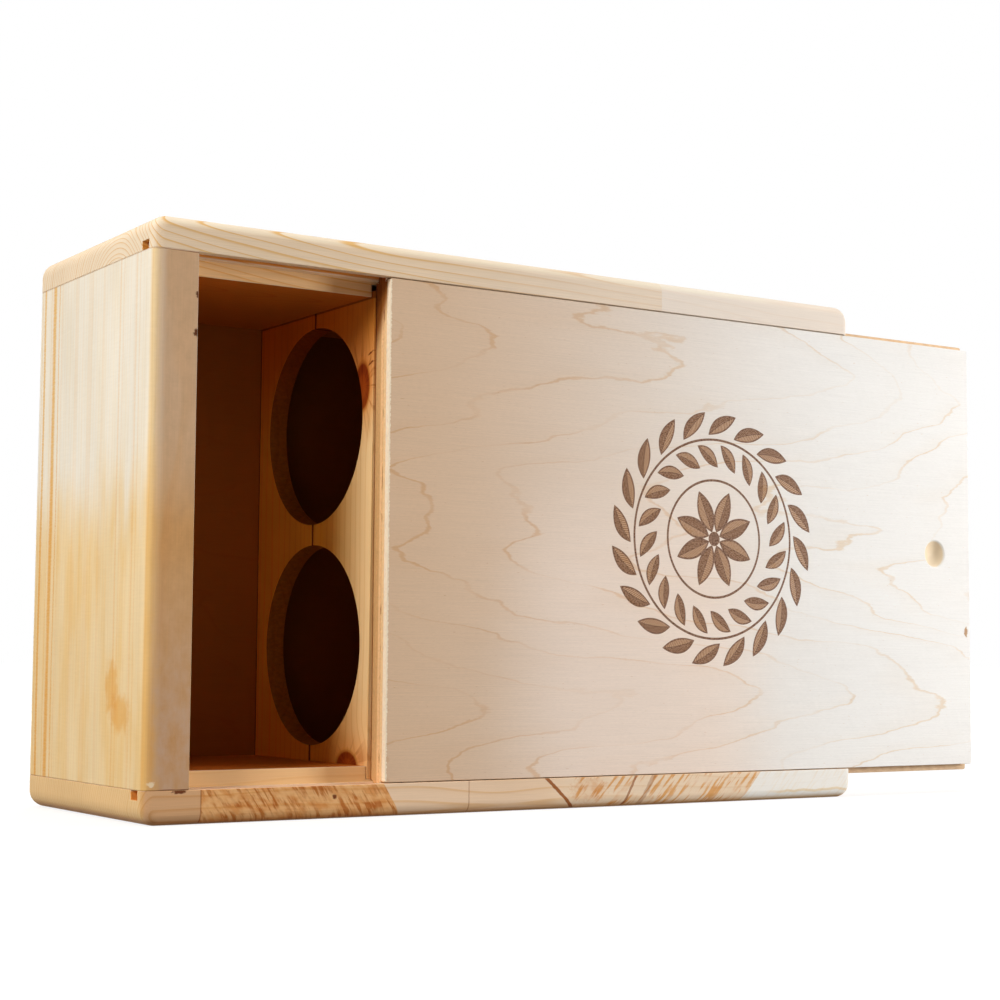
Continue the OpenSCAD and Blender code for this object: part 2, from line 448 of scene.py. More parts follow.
# %% A ragged spot
def blot(paint, across, up, middle, wide, high):
    """A ragged spot, 1 in its middle."""
    ragged = paint.noise(across / 1.1, up / 1.1, middle[0], detail=3.0) - 0.5
    reach = paint.distance((across - middle[0]) / wide, (up - middle[1]) / high)
    return 1 - paint.step(reach + ragged * 1.2, 0.55, 1.0)


# %% Glue joints
# Each joint: its x at the front's top, its lean, half its width and its strength.
GLUE_JOINTS = ((24.0, 0.0, 0.25, 0.5), (143.9, 0.0, 0.2, 0.5), (183.0, 1.10, 0.8, 1.0),
               (229.8, -0.55, 0.5, 0.8), (239.6, -0.62, 1.0, 0.45))
FRONT_TOP = 13.0


def slanted(x, z, lean):
    """Where the line through a point starts at the top. On the way down it goes right by lean."""
    return x - (FRONT_TOP - z) * lean


def glue_joints(paint, x, z):
    """The dark joints on the board's front, 0 to 1."""
    total = 0.0
    for top, lean, half, strength in GLUE_JOINTS:
        ragged = paint.noise(x / 2.0, z / 2.0, top, detail=3.0) - 0.5
        line = slanted(x, z, lean) + ragged * 1.6 * half
        total = paint.near(line, top, half, half * 0.6) * strength + total
    return paint.math("MINIMUM", total, 1.0)


# %% The stretches of the front
SAWN_FROM = 24.0
SAWN_TO = 103.5
SAWN_LEAN = 0.62
BLOTCH = (205.0, 8.0)
PALE_FROM = 300.0
PALE_LEAN = -0.9


def sawn_stretch(paint, colour, front, x, z):
    """The darker left end, the patch of saw marks and the blotch."""
    left_end = front * (1 - paint.step(x, SAWN_FROM - 0.2, SAWN_FROM))
    colour = paint.stain_and_shade(left_end, colour, rgb(0.80, 0.64, 0.48))
    slant = slanted(x, z, SAWN_LEAN)
    strokes = paint.step(paint.noise(slant / 1.7, z / 9.0, 1.0, detail=4.0), 0.46, 0.62)
    patch = paint.step(paint.noise(slant / 13.0, z / 6.0, 4.0), 0.34, 0.56)
    dapple = paint.step(paint.noise(slant / 4.5, z / 4.0, 7.0, detail=3.0), 0.40, 0.66)
    begun = paint.step(x, SAWN_FROM - 0.3, SAWN_FROM)
    sawn = front * (begun * (1 - paint.step(slant, SAWN_TO, SAWN_TO + 0.4)))
    colour = paint.stain_and_shade(sawn, colour, rgb(0.96, 0.74, 0.46))
    colour = paint.stain_and_shade(sawn * dapple * 0.7, colour, rgb(0.82, 0.58, 0.32))
    colour = paint.stain_and_shade(sawn * strokes * patch, colour, rgb(0.62, 0.38, 0.18))
    blotch = blot(paint, x, z, BLOTCH, 11.5, 7.0) * (dapple * 0.65 + 0.35)
    return paint.stain_and_shade(front * blotch, colour, rgb(0.80, 0.49, 0.17))


def warm_stretch(paint, colour, front, x, z):
    """The warmer wood left of the pale piece, with thin slanting marks."""
    slant = slanted(x, z, PALE_LEAN)
    before_pale = 1 - paint.step(slant, PALE_FROM - 1.0, PALE_FROM)
    warm = front * paint.step(x, 180.0, 200.0) * before_pale
    colour = paint.mix(warm * 0.45, colour, rgb(1.0, 0.84, 0.64))
    marked = front * (paint.step(x, 196.0, 199.0) * before_pale)
    slashes = paint.step(paint.noise(slant / 2.2, z / 11.0, 6.0, detail=4.0), 0.48, 0.60)
    thin = paint.step(paint.noise(slant / 16.0, z / 8.0, 8.0), 0.34, 0.56)
    return paint.stain_and_shade(marked * slashes * thin, colour, rgb(0.84, 0.54, 0.26))


def pale_piece(paint, colour, front, x, z):
    """The pale piece at the right, its brush marks, and a wavy sanding mark low down."""
    slant = slanted(x, z, PALE_LEAN)
    pale = front * paint.step(slant, PALE_FROM + 0.2, PALE_FROM + 0.6)
    colour = paint.mix(pale * 0.95, colour, rgb(1.0, 0.97, 0.91))
    brushed = paint.step(paint.noise(slant / 1.8, z / 9.0, 12.0, detail=3.0), 0.48, 0.72)
    colour = paint.stain_and_shade(pale * brushed * 0.5, colour, rgb(0.95, 0.86, 0.74))
    wave = paint.noise(x / 14.0, 3.0, 1.0) * 4.0 + 2.0
    sanded = front * paint.step(x, PALE_FROM, 318.0) * paint.near(z, wave, 0.2, 0.7)
    return paint.stain_and_shade(sanded * 0.7, colour, rgb(0.90, 0.72, 0.46))


print("sawn from", SAWN_FROM, "to", SAWN_TO, "mm, pale from", PALE_FROM, "mm")

# %% Bottom board
BOTTOM_PITH = (-150.0, -45.0)
BOTTOM_RING = 1.9
BOTTOM_EARLY = rgb(0.93, 0.68, 0.47)
BOTTOM_LATE = rgb(0.80, 0.47, 0.20)


def bottom_pine():
    paint = new_paint("bottom_pine")
    x, y, z = place(paint)
    face_x, face_y, face_z = facing(paint)
    ring = rings(paint, x, y, z, BOTTOM_PITH, BOTTOM_RING)
    streak = fibre(paint, x, y, z)
    cloud = paint.noise(x / 60.0, y / 30.0, z / 14.0)
    colour = wood_tone(paint, BOTTOM_EARLY, BOTTOM_LATE, ring * 0.6, streak, cloud)
    end_face = paint.step(abs(face_x), 0.6, 0.8)
    colour = paint.stain_and_shade(end_face, colour, rgb(0.97, 0.91, 0.67))
    front = paint.step(-1 * face_y, 0.15, 0.75) * (1 - paint.step(y, 4.0, 5.0))
    colour = sawn_stretch(paint, colour, front, x, z)
    colour = warm_stretch(paint, colour, front, x, z)
    colour = paint.stain_and_shade(groove(paint, y, z, face_x), colour, GROOVE_PAINTED_SHADE)
    colour = paint.stain_and_shade(front * glue_joints(paint, x, z), colour, rgb(0.40, 0.18, 0.07))
    colour = pale_piece(paint, colour, front, x, z)
    knot = blot(paint, x, z, (81.2, 8.8), 1.1, 1.4) * front
    splinter = blot(paint, x, z, (15.0, 12.6), 3.4, 0.9) * front
    colour = paint.stain_and_shade(paint.math("MAXIMUM", knot, splinter), colour, rgb(0.22, 0.10, 0.05))
    # Painted shade on the faces that look down, at the foot of the board.
    painted_shade_below = paint.step(-1 * face_z, 0.45, 0.90) * (1 - paint.step(z, 3.0, 4.5))
    colour = paint.stain_and_shade(painted_shade_below, colour, rgb(0.74, 0.52, 0.30))
    wall = rebate_wall(paint, y, face_y)
    # Painted light: this rebate wall is made paler than the top board's.
    colour = paint.mix(wall * 0.5, colour, rgb(1.0, 0.90, 0.68))
    colour = paint.stain_and_shade(wall, colour, REBATE_STAIN)
    colour = paint.stain_and_shade(inside(paint, x, y, z), colour, INSIDE_PAINTED_SHADE)
    return planed(paint, colour, ring, streak)


# %% [markdown]
# ## The end boards
# Their grain stands upright. The left one is quarter sawn, so the rings are straight lines, and
# the strongest are gathered near the back edge.

# %% The strongest rings and the smudges
# Each line: its y, half its width and its strength.
YEAR_LINES = ((102.4, 2.0, 1.00), (97.2, 0.5, 0.80), (94.0, 0.4, 0.35), (106.4, 0.4, 0.45),
              (113.8, 1.2, 0.95), (117.0, 0.4, 0.45), (31.0, 0.8, 0.30), (27.5, 0.4, 0.25),
              (15.0, 1.0, 0.28), (11.5, 0.4, 0.20), (62.0, 2.5, 0.15), (48.0, 1.5, 0.12),
              (77.0, 1.8, 0.15))
LINE_GOLD = rgb(0.85, 0.51, 0.17)
# Each smudge: its y and z, half its width and height, and its strength.
SMUDGES = ((23.5, 41.5, 13.5, 11.5, 0.80), (32.0, 51.0, 9.0, 16.0, 0.85))


def year_lines(paint, colour, across, y, z, lines):
    """Straight dark rings, ruffled and broken along their length."""
    ruffled = across + (paint.noise(y / 2.0, z / 0.8, 3.0, detail=2.0) - 0.5) * 1.3
    broken = paint.step(paint.noise(z / 50.0, y / 2.5, 5.0, detail=2.0), 0.10, 0.42)
    ladder = paint.noise(y / 6.0, z / 0.7, 8.0, detail=1.0) * 0.7 + 0.55
    for middle, half, strength in lines:
        line = paint.near(ruffled, middle, half * 0.35, half)
        line = paint.math("MINIMUM", line * broken * ladder * strength, 1.0)
        colour = paint.mix(line, colour, LINE_GOLD)
    return colour


def smudged(paint, colour, y, z, smudges):
    for middle_y, middle_z, wide, high, strength in smudges:
        spot = paint.distance((y - middle_y) / wide, (z - middle_z) / high)
        spot += (paint.noise(y / 3.0, z / 5.0, middle_y, detail=3.0) - 0.5) * 0.7
        colour = paint.stain_and_shade((1 - paint.step(spot, 0.35, 0.85)) * strength, colour,
                             rgb(0.92, 0.69, 0.36))
    return colour


# %% The end board's narrow front
JOINT_HEIGHT = 102.8
NICKS = ((18.9, 202.1, 1.5, 1.6), (19.0, 187.3, 2.3, 2.0))
FOOT_CHIP = (3.8, 15.6)


def narrow_front(paint, colour, x, y, z, face_y):
    """A browner front with its arris, two nicks, a chip, and seams at the top and the foot: glue
    lines, darkened on the front by painted shade.
    """
    cloudy = paint.noise(x / 5.0, z / 9.0, y, detail=4.0, roughness=0.6)
    foot = (1 - paint.step(z, 12.0, 75.0)) * 1.2
    from_corner = x - foot + (cloudy - 0.5) * 3.0
    arris = paint.step(-1 * face_y, 0.30, 0.60) * (1 - paint.step(from_corner, 1.5, 5.5))
    colour = paint.stain_and_shade(arris * 0.80, colour, rgb(0.95, 0.74, 0.42))
    edge = paint.step(-1 * face_y, 0.7, 0.97) * (paint.step(from_corner, 1.5, 6.5) * 0.65 + 0.35)
    colour = paint.stain_and_shade(edge, colour, rgb(0.68, 0.485, 0.345))
    colour = paint.bright(colour, 1 - edge * 0.15 + edge * cloudy * 0.30)
    grey = edge * (1 - paint.step(z, 30.0, 110.0)) * paint.step(cloudy, 0.10, 0.85)
    colour = paint.mix(grey * 0.65, colour, rgb(0.57, 0.43, 0.355))
    for nick_x, nick_z, wide, high in NICKS:
        nick = blot(paint, x, z, (nick_x, nick_z), wide, high) * edge
        colour = paint.stain_and_shade(nick, colour, rgb(0.16, 0.06, 0.02))
    chip = blot(paint, x, z, FOOT_CHIP, 1.9, 1.3) * paint.step(-1 * face_y, 0.2, 0.5)
    colour = paint.mix(chip * 0.7, colour, rgb(1.0, 0.84, 0.60))
    # The seams are glue lines, faint on the end board's side; on its front they are darkened with
    # painted shade.
    seam = paint.step(abs(z - BOX_HEIGHT / 2) + cloudy * 0.5, JOINT_HEIGHT - 0.35,
                      JOINT_HEIGHT + 0.05)
    return paint.stain_and_shade(seam * (0.35 + edge * 0.60), colour, rgb(0.32, 0.16, 0.07))


# %% End boards
END_PITH = (-190.0, 30.0)
END_RING = 2.9
END_EARLY = rgb(0.95, 0.88, 0.76)
END_LATE = rgb(0.86, 0.64, 0.36)


def end_pine(name, lines, smudges):
    paint = new_paint(name)
    x, y, z = place(paint)
    sway = paint.noise(z / 90.0, y / 30.0, x / 30.0)
    across = y + (sway - 0.5) * 2.4
    fine = rings(paint, z, across, x, END_PITH, END_RING, wander=4.0)
    streak = fibre(paint, z, x, y)
    cloud = paint.noise(z / 80.0, y / 25.0, x / 25.0)
    colour = wood_tone(paint, END_EARLY, END_LATE, fine * 0.22, streak, cloud)
    colour = year_lines(paint, colour, across, y, z, lines)
    fringe = (paint.noise(z / 60.0, y / 9.0, 2.0, detail=2.0) - 0.5) * 50.0
    low = (1 - paint.step(z + fringe, 104.0, 146.0)) * (1.0 if smudges else 0.25)
    colour = paint.stain_and_shade(low, colour, rgb(0.99, 0.83, 0.57))
    golden = paint.step(paint.noise(z / 55.0, y / 11.0, 9.0, detail=2.0), 0.36, 0.70)
    colour = paint.stain_and_shade(golden * (0.18 + low * 0.50), colour, rgb(0.96, 0.82, 0.55))
    chatter = paint.noise(y / 9.0, z / 0.8, x / 3.0, detail=2.0)
    colour = paint.bright(colour, 0.96 + chatter * 0.08)
    colour = smudged(paint, colour, y, z, smudges)
    colour = narrow_front(paint, colour, x, y, z, facing(paint)[1])
    colour = paint.stain_and_shade(inside(paint, x, y, z), colour, INSIDE_PAINTED_SHADE)
    return planed(paint, colour, fine, streak, relief=0.07 * MM)


# %% [markdown]
# ## Birch plywood
# A veneer peeled off a turning log shows its rings as the contour lines of a gentle landscape,
# which is how it is made here: noise that is far longer than high, cut at even heights. The
# edges show the layers one behind the other, from a pale veneer to brown ones at the back,
# whose brown is partly painted shade.

# %% Veneer and layers
FLAME_TIP = 205.0
FLAME_SPACING = 165.0
# Each layer: how deep it begins, and its colour; the back ones' colours hold painted shade.
PLIES = ((0.0, rgb(1.00, 0.87, 0.67)), (2.9, rgb(0.93, 0.64, 0.34)), (4.9, rgb(0.82, 0.48, 0.22)),
         (5.4, rgb(0.91, 0.59, 0.30)), (7.3, rgb(0.68, 0.40, 0.17)), (9.8, rgb(0.64, 0.38, 0.16)))


def veneer(paint, along, up, seed):
    """Contour lines, 0 to 1, of a field that climbs to the right in long pointed flames."""
    rolling = paint.noise(along / 200.0 + seed, up / 34.0, seed, detail=2.0, roughness=0.4)
    wobble = paint.noise(along / 11.0, up / 3.5, seed + 3.0, detail=4.0)
    swell = paint.math("COSINE", (up - FLAME_TIP) * (2 * math.pi / FLAME_SPACING))
    level = paint.math("FRACT", along / 62.0 - swell * 1.6 + rolling * 4.6 + wobble * 0.24)
    broad = paint.step(level, 0.35, 0.95) * 0.16
    thin = paint.step(level, 0.905, 0.94) * 0.84
    shown = paint.step(paint.noise(along / 60.0, up / 26.0, seed + 6.0, detail=3.0), 0.40, 0.64)
    return (broad + thin) * (1 - paint.step(level, 0.955, 0.985)) * (shown * 0.80 + 0.20)


def silk(paint, along, up):
    """The faint slanting curl of birch, 0 to 1."""
    turned = paint.noise(along / 40.0, up / 40.0, 14.0) * 9.0
    return paint.noise((along + up * 0.8) / 5.0 + turned, (up - along * 0.5) / 13.0, 15.0,
                       detail=3.0)


def flecks(paint, along, up, seed):
    """Short dark dashes along the grain, 0 to 1."""
    dash = paint.noise(along / 2.6, up / 0.42, seed, detail=1.0)
    return paint.step(dash, 0.735, 0.80)


def layers(paint, depth):
    """The colours of the plywood's layers, one behind the other."""
    colour = PLIES[0][1]
    for begins, tone in PLIES[1:]:
        colour = paint.mix(paint.step(depth, begins - 0.15, begins + 0.15), colour, tone)
    return colour


# %% [markdown]
# ## The burnt-in ornament
# A burnt-in drawing suits a keepsake box: a wreath of leaves round a rosette, all arithmetic. A
# leaf is a pointed oval in a slice of the circle, repeated by taking the angle's remainder, and
# the hatching in it is a stripe pattern.

# %% Wreath
WREATH_MIDDLE = (274.0, 118.0)
WREATH_RADIUS = 45.0
LEAVES = 20
LEAF_LENGTH = 16.5
LEAF_WIDTH = 6.4
LEAF_TURN = math.radians(38.0)
PETALS = 8


def leaf(paint, along, off, length, width):
    """A pointed leaf's outline, midrib and hatching as ink, 0 to 1."""
    taper = 1 - paint.math("POWER", abs(along) / length, 2.0)
    side = abs(off) / width - taper
    body = 1 - paint.step(side, -0.10, 0.02)
    outline = paint.near(side, -0.08, 0.07, 0.05)
    midrib = paint.near(off, 0.0, 0.10, 0.12) * body
    stripes = paint.math("FRACT", (abs(off) * 0.8 + along) / 0.95)
    dark_half = paint.step(off, -0.2, 0.3)
    shade = paint.near(stripes, 0.5, 0.20, 0.18) * body * (dark_half * 0.45 + 0.40)
    wash = body * (dark_half * 0.34 + 0.20)
    return paint.math("MINIMUM", outline + midrib + shade + wash, 1.0)


def wreath(paint, x, z):
    """The ornament's ink on the lid, 0 to 1."""
    right = x - WREATH_MIDDLE[0]
    up = z - WREATH_MIDDLE[1]
    radius = paint.distance(right, up)
    turn = paint.math("ARCTAN2", right, up) / (2 * math.pi) + 0.5
    ink = paint.near(radius, WREATH_RADIUS, 0.42, 0.15)
    for side in (-1, 1):
        slice_turn = paint.math("FRACT", turn * LEAVES + side * 0.25) - 0.5
        arc = slice_turn * (2 * math.pi / LEAVES) * WREATH_RADIUS
        out = (radius - WREATH_RADIUS) * side - LEAF_WIDTH - 0.9
        along = arc * math.cos(LEAF_TURN) + out * math.sin(LEAF_TURN)
        off = out * math.cos(LEAF_TURN) - arc * math.sin(LEAF_TURN)
        ink = paint.math("MAXIMUM", ink, leaf(paint, along, off, LEAF_LENGTH / 2, LEAF_WIDTH / 2))
    petal_turn = paint.math("FRACT", turn * PETALS) - 0.5
    petal_off = paint.math("SINE", petal_turn * (2 * math.pi / PETALS)) * radius
    petal = leaf(paint, radius - 13.0, petal_off, 9.8, 4.2)
    ink = paint.math("MAXIMUM", ink, petal * (1 - paint.step(radius, 23.0, 23.5)))
    ink = paint.math("MAXIMUM", ink, 1 - paint.step(radius, 3.0, 3.3))
    return paint.math("MAXIMUM", ink, paint.near(radius, 26.5, 0.42, 0.15))


print(2 * LEAVES, "leaves on a ring of", WREATH_RADIUS, "mm radius,", PETALS, "petals")

# %% The lid's face and its edge
LID_LEFT = 104.4
LID_RIGHT = 436.4
LID_FACE = 0.5
# The veneer's colours at its left and right ends. The change between them is partly painted light.
VENEER_DARK = rgb(0.78, 0.545, 0.36)
VENEER_LIGHT = rgb(0.965, 0.94, 0.905)
THIN_BURN = rgb(0.52, 0.25, 0.085)
DEEP_BURN = rgb(0.10, 0.026, 0.006)


def lid_veneer(paint, x, z, streak, short):
    """The lid's veneer, which grows lighter to the right: from the near lamp, and from painted
    light.
    """
    painted_light_to_right = paint.step(x, LID_LEFT - 20.0, LID_RIGHT - 70.0)
    base = paint.mix(painted_light_to_right, VENEER_DARK, VENEER_LIGHT)
    pale = paint.near(x, 232.0, 28.0, 60.0) * (1 - paint.step(z, 85.0, 175.0))
    base = paint.mix(pale * 0.85, base, rgb(0.99, 0.82, 0.70))
    colour = paint.stain_and_shade(veneer(paint, x, z, 2.7) * 0.60, base, rgb(0.84, 0.64, 0.42))
    cloud = paint.noise(x / 90.0, z / 40.0, 5.0)
    curl = silk(paint, x, z) * paint.step(x, 150.0, 330.0)
    colour = paint.bright(colour, 0.775 + streak * 0.20 + cloud * 0.08 + short * 0.14 + curl * 0.05)
    return paint.stain_and_shade(flecks(paint, x, z, 8.0) * 0.60, colour, rgb(0.72, 0.52, 0.34))


def burnt_in(paint, colour, x, z, ink):
    """The veneer with the ornament burnt in: brown where the ink is thin, black where deep."""
    worn = paint.step(paint.noise(x / 0.9, z / 0.7, 2.0, detail=3.0), 0.32, 0.66)
    burnt = paint.mix(paint.step(ink, 0.30, 0.85), THIN_BURN, DEEP_BURN)
    burnt = paint.mix(worn * 0.40, burnt, rgb(0.44, 0.20, 0.065))
    return paint.mix(paint.step(ink, 0.02, 0.30) * (1 - worn * 0.12), colour, burnt)


def lid_edge(paint, colour, x, y, z, edge, grain):
    """The layers, where the lid's edge shows them, and painted shade in the corner under the top
    board.
    """
    depth = y - LID_FACE
    pores = paint.noise(x / 0.5, y / 0.35, z / 3.0, detail=2.0)
    edge_tone = paint.bright(layers(paint, depth + (grain - 0.5) * 0.9),
                             0.62 + grain * 0.38 + pores * 0.40)
    colour = paint.mix(edge, colour, edge_tone)
    void = paint.near(depth + (grain - 0.5) * 0.5, 5.1, 0.20, 0.20)
    void *= paint.step(paint.noise(z / 13.0, x / 13.0, 3.0, detail=1.0), 0.52, 0.60)
    colour = paint.stain_and_shade(void * edge * 0.85, colour, rgb(0.42, 0.22, 0.10))
    # Painted shade: the back layer is darkened further.
    colour = paint.stain_and_shade(edge * paint.step(depth, 11.0, 11.5), colour, rgb(0.36, 0.18, 0.08))
    # Painted shade at the top of the edge, under the top board.
    painted_shade_under_top = edge * paint.step(z + depth * 2.0, 206.0, 222.0) * paint.step(depth, 1.2, 3.5)
    painted_shade_under_top *= 1 - paint.step(x, LID_LEFT + 1.0, LID_LEFT + 3.0)
    return paint.stain_and_shade(painted_shade_under_top, colour, rgb(0.34, 0.17, 0.06))


# %% Lid
LID_LOW = 13.6
CHIP = (433.6, 78.2)
RECESS = (412.8, 116.0)
RECESS_RADIUS = 6.75
TORN = 0.75


def lid_birch():
    paint = new_paint("lid_birch")
    x, y, z = place(paint)
    face_y = facing(paint)[1]
    streak = fibre(paint, x, z, z, width=0.5)
    short = paint.noise(x / 2.4, z / 0.38, 4.0, detail=2.0, roughness=0.6)
    colour = lid_veneer(paint, x, z, streak, short)
    ink = wreath(paint, x, z) * paint.step(-1 * face_y, 0.8, 0.95)
    colour = burnt_in(paint, colour, x, z, ink)
    recess = 1 - paint.step(paint.distance(x - RECESS[0], z - RECESS[1]), RECESS_RADIUS,
                            RECESS_RADIUS + 0.3)
    front_half = 1 - paint.step(y, LID_FACE + 5.5, LID_FACE + 6.5)
    cut = recess * paint.step(y, LID_FACE + 0.15, LID_FACE + 1.1) * front_half
    colour = paint.mix(cut * 0.75, colour, rgb(0.93, 0.72, 0.44))
    tongue = paint.step(abs(z - BOX_HEIGHT / 2), BOX_HEIGHT / 2 - LID_LOW,
                        BOX_HEIGHT / 2 - LID_LOW + 0.3)
    mottle = paint.noise(x / 3.5, y / 1.5, z / 1.5, detail=3.0)
    tongue_tone = paint.mix(mottle, rgb(0.50, 0.22, 0.06), rgb(0.92, 0.66, 0.36))
    colour = paint.mix(tongue * 0.85, colour, tongue_tone)
    edge = 1 - paint.step(abs(face_y), 0.35, 0.75)
    edge *= 1 - recess
    grain = paint.noise(x / 0.8, y / 0.8, z / 0.8, detail=3.0)
    colour = lid_edge(paint, colour, x, y, z, edge, grain)
    ragged = x - LID_LEFT - paint.noise(x / 2.0, z / 0.7, 11.0, detail=3.0) * 2 * TORN
    colour = paint.mix((1 - paint.step(ragged, -0.35, -0.1)) * (1 - edge), colour, PLIES[0][1])
    chip = blot(paint, x, z, CHIP, 1.5, 2.8)
    colour = paint.stain_and_shade(chip * (1 - edge) * front_half, colour, rgb(0.55, 0.34, 0.19))
    height = streak * 0.4 + short * 0.4 + edge * grain * 1.5 - ink * 0.6
    return paint.surface(colour, 0.50 + streak * 0.12 + edge * 0.2, height, 0.07 * MM)


# %% Back panel
def panel_ply():
    paint = new_paint("panel_ply")
    x, y, z = place(paint)
    line = veneer(paint, x, z, 6.1)
    streak = fibre(paint, x, z, z, width=0.5)
    colour = paint.mix(line * 0.25, rgb(0.84, 0.67, 0.49), rgb(0.70, 0.46, 0.27))
    colour = paint.bright(colour, 0.88 + streak * 0.22)
    inner = paint.step(-1 * facing(paint)[1], 0.5, 0.8)
    colour = paint.stain_and_shade(inner, colour, INSIDE_PAINTED_SHADE)
    # Painted shade on the inner face: darker overall and darker towards the top.
    colour = paint.bright(colour, 1 - inner * 0.12 - inner * paint.step(z, 150.0, 210.0) * 0.14)
    # Painted shade on the inner face behind the lid.
    behind = inner * paint.step(x, 108.0, 116.0)
    colour = paint.stain_and_shade(behind, colour, rgb(0.55, 0.50, 0.50))
    return paint.surface(colour, 0.55 + streak * 0.12, streak, 0.06 * MM)


# %% [markdown]
# ## The bottle cradles
# These boards stand upright in their dados. The first one carries two knots, one that the
# upper hole has cut through and one at the foot. Grain bends round a knot. To make it do so, the
# pattern is read nearer to the knot's middle than the point is, which spreads its lines apart.

# %% Knots
# Each knot: its y and z, and half its width and height.
CRADLE_KNOTS = ((22.5, 176.0, 7.2, 12.0), (32.0, 18.6, 10.5, 7.4))


def knot_marks(paint, y, z, knots):
    """Where the pattern is read across the board, and the five marks of the knots."""
    side = y
    marks = [0.0] * 5
    for knot_y, knot_z, wide, high in knots:
        reach = paint.distance((y - knot_y) / wide, (z - knot_z) / high)
        turn = paint.math("ARCTAN2", z - knot_z, y - knot_y)
        wood = 1 - paint.step(reach, 0.85, 1.0)
        rim = paint.near(reach, 0.93, 0.06, 0.12)
        core = paint.near(reach, 0.62, 0.08, 0.20)
        halo = 1 - paint.step(reach, 0.9, 2.4)
        spokes = paint.step(paint.noise(turn * 5.0, reach / 3.0, knot_z, detail=2.0), 0.52, 0.66)
        marks = [new + old for new, old in zip((wood, rim, core, halo, spokes * halo), marks)]
        side = side + (1 - paint.step(reach, 0.5, 3.0)) * (y - knot_y) * -0.6
    return side, marks


# %% The walls of the bottle holes
HOLES = ((65.0, 68.8), (65.0, 163.2))
HOLE_RADIUS = 42.7


def hole_walls(paint, y, z, face_x):
    """1 on the walls of both holes."""
    wall = 0.0
    for middle_y, middle_z in HOLES:
        away = paint.distance(y - middle_y, z - middle_z)
        wall = paint.near(away, HOLE_RADIUS, 0.3, 0.2) + wall
    return wall * (1 - paint.step(abs(face_x), 0.6, 0.9))


# %% Cradles
CRADLE_PITH = (150.0, 60.0)
CRADLE_RING = 4.2
CRADLE_EARLY = rgb(0.98, 0.70, 0.36)
CRADLE_LATE = rgb(0.80, 0.46, 0.15)
CRADLE_CRACKS = ((15.8, 189.3), (15.4, 185.1))
# Painted shade that deepens from the front of the box towards the back.
CRADLE_DEPTH_SHADE = rgb(1.0, 0.74, 0.18)
SPLIT = 65.0


def cradle_pine(name, knots):
    paint = new_paint(name)
    x, y, z = place(paint)
    side, (knotty, rim, core, halo, rays) = knot_marks(paint, y, z, knots)
    ring = rings(paint, z, side, x, CRADLE_PITH, CRADLE_RING, wander=9.0)
    streak = fibre(paint, z, x, side)
    cloud = paint.noise(z / 60.0, y / 25.0, x / 25.0)
    colour = wood_tone(paint, CRADLE_EARLY, CRADLE_LATE, ring * 0.45, streak, cloud)
    colour = paint.stain_and_shade(1 - paint.step(z, 24.0, 60.0), colour, rgb(1.0, 0.90, 0.80))
    colour = paint.stain_and_shade(halo * 0.5, colour, rgb(0.90, 0.62, 0.32))
    colour = paint.stain_and_shade(rays * 0.6, colour, rgb(0.55, 0.28, 0.10))
    colour = paint.stain_and_shade(knotty, colour, rgb(0.44, 0.16, 0.035))
    colour = paint.stain_and_shade(core * 0.5, colour, rgb(0.48, 0.28, 0.12))
    colour = paint.mix(rim * 0.55, colour, rgb(0.84, 0.42, 0.11))
    for crack in CRADLE_CRACKS if knots else ():
        mark = blot(paint, y, z + (y - crack[0]) * 0.35, crack, 2.4, 0.6)
        colour = paint.stain_and_shade(mark, colour, rgb(0.28, 0.12, 0.05))
    # Painted shade deeper in the box.
    colour = paint.stain_and_shade(paint.step(y, 14.0, 60.0), colour, CRADLE_DEPTH_SHADE)
    # Painted light: lighter near the back.
    colour = paint.bright(colour, 1 + paint.step(y, 85.0, 108.0) * 0.14)
    # Painted shade towards the top, under the top board.
    colour = paint.stain_and_shade(paint.step(z, 147.0, 207.0), colour, rgb(0.72, 0.37, 0.095))
    mottle = paint.noise(x / 2.0, y / 2.0, z / 1.2, detail=3.0)
    wall_stain = paint.mix(mottle, rgb(0.24, 0.13, 0.09), rgb(0.53, 0.34, 0.27))
    colour = paint.stain_and_shade(hole_walls(paint, y, z, facing(paint)[0]), colour, wall_stain)
    # Painted shade in the narrow groove where the two halves meet.
    split_shade = paint.near(y, SPLIT, 0.55, 0.45)
    colour = paint.stain_and_shade(split_shade, colour, rgb(0.27, 0.12, 0.05))
    joint = paint.math("MAXIMUM", paint.step(y, BACK_FACE - 1.3, BACK_FACE - 0.6),
                       paint.step(z, BOX_HEIGHT - BOARD - 0.9, BOX_HEIGHT - BOARD - 0.4) * 0.7)
    colour = paint.stain_and_shade(joint, colour, rgb(0.22, 0.11, 0.06))
    return planed(paint, colour, ring, streak, roughness=0.6)


# %% [markdown]
# ## Soft edges
# CAD edges are perfectly sharp, and no real board's are: a few strokes of sandpaper leave a
# narrow bevel that catches the light. A copy of each CAD piece is merged, its flat triangles
# are joined into whole faces, and the Bevel modifier rounds the sharp edges that point outward.
# Sandpaper doesn't reach an inner corner, so those stay sharp. Weighted Normal then lets the
# large faces keep their own direction, so they stay flat to the eye right up to the bevel.
#
# The bevel must not slide its vertices along the edges that only divide a flat face: where such
# an edge leaves a nail hole's rim at a slant, the vertex would go far along it and the face
# would cross itself.
#
# The two long boards get one thing more. In the photograph their corners are rounder than their
# edges, as if a round-over bit had been run round the finished box. The CAD model rounds both
# alike, so the copies are cut finely near the corners, and each vertex that stands out of such
# a bit's path is moved in on to it, by less than two millimetres.

# %% Rounded corners
EDGE_ROUND = 4.8
CORNER_ROUND = 7.0
CUTS = (0.5, 1.1, 1.8, 2.6, 3.6, 4.8, 5.9, 7.0)
ROUTED = ("top_board", "bottom_board")


